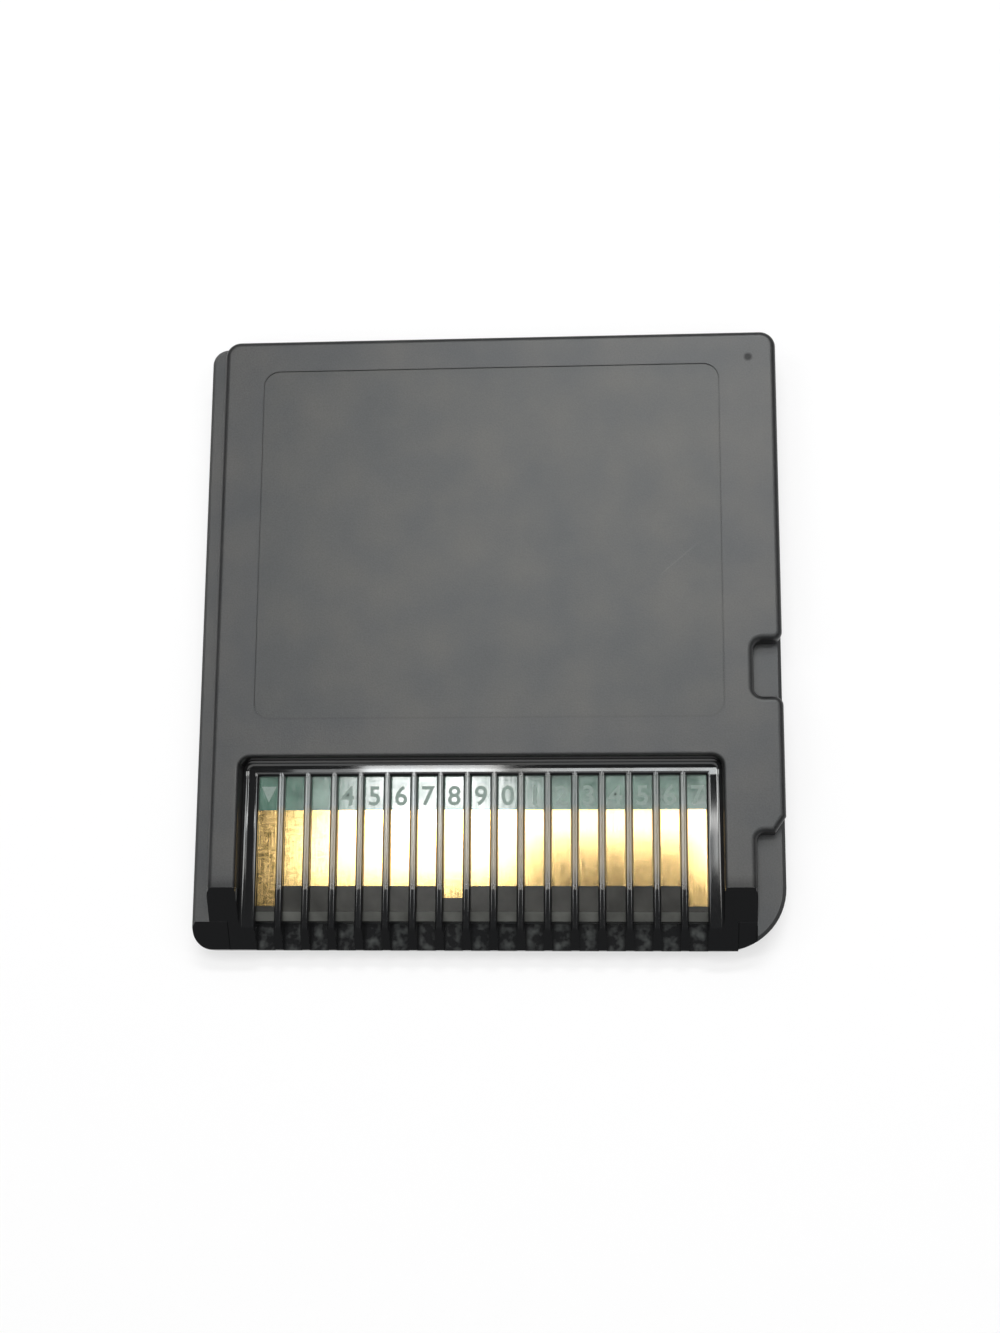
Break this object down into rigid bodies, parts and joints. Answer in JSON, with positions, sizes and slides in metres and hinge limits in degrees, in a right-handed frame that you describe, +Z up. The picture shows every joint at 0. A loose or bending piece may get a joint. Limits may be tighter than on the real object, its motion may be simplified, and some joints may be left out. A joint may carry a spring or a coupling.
{
  "type": "game cartridge",
  "caption": "Thin keyed game card: two-piece moulded case round a small circuit board, with a ribbed window over its edge contacts, a latch notch and a sloped nose.",
  "frame": {"origin": "middle of the card's footprint, on the label side that it lies on", "axes": "+X across the card towards the latch notch, +Y along the card from the contact end to the grip end, +Z up out of the contact side"},
  "size_m": [0.0328, 0.035, 0.0038],
  "materials": {
    "shell_plastic": "fine spark texture on the faces, glossy in the recess and on the nose",
    "board_laminate": "green solder mask on glass laminate",
    "contact_gold": "gilt, lightly scuffed by insertion",
    "chip_epoxy": "moulded epoxy",
    "lead_tin": "tinned",
    "small_part_ceramic": "fired ceramic"
  },
  "bodies": {
    "root": {"front_shell": "shell_plastic", "rear_shell": "shell_plastic", "circuit_board": "board_laminate", "contact_pad_01": "contact_gold", "contact_pad_02": "contact_gold", "contact_pad_03": "contact_gold", "contact_pad_04": "contact_gold", "contact_pad_05": "contact_gold", "contact_pad_06": "contact_gold", "contact_pad_07": "contact_gold", "contact_pad_08": "contact_gold", "contact_pad_09": "contact_gold", "contact_pad_10": "contact_gold", "contact_pad_11": "contact_gold", "contact_pad_12": "contact_gold", "contact_pad_13": "contact_gold", "contact_pad_14": "contact_gold", "contact_pad_15": "contact_gold", "contact_pad_16": "contact_gold", "contact_pad_17": "contact_gold", "rom_chip": "chip_epoxy", "save_chip": "chip_epoxy", "rom_chip_leads": "lead_tin", "save_chip_leads": "lead_tin", "capacitor_1": "small_part_ceramic", "capacitor_2": "small_part_ceramic", "capacitor_3": "small_part_ceramic", "capacitor_4": "small_part_ceramic", "resistor_1": "small_part_ceramic", "resistor_2": "small_part_ceramic", "resistor_3": "small_part_ceramic"}
  },
  "joints": []
}
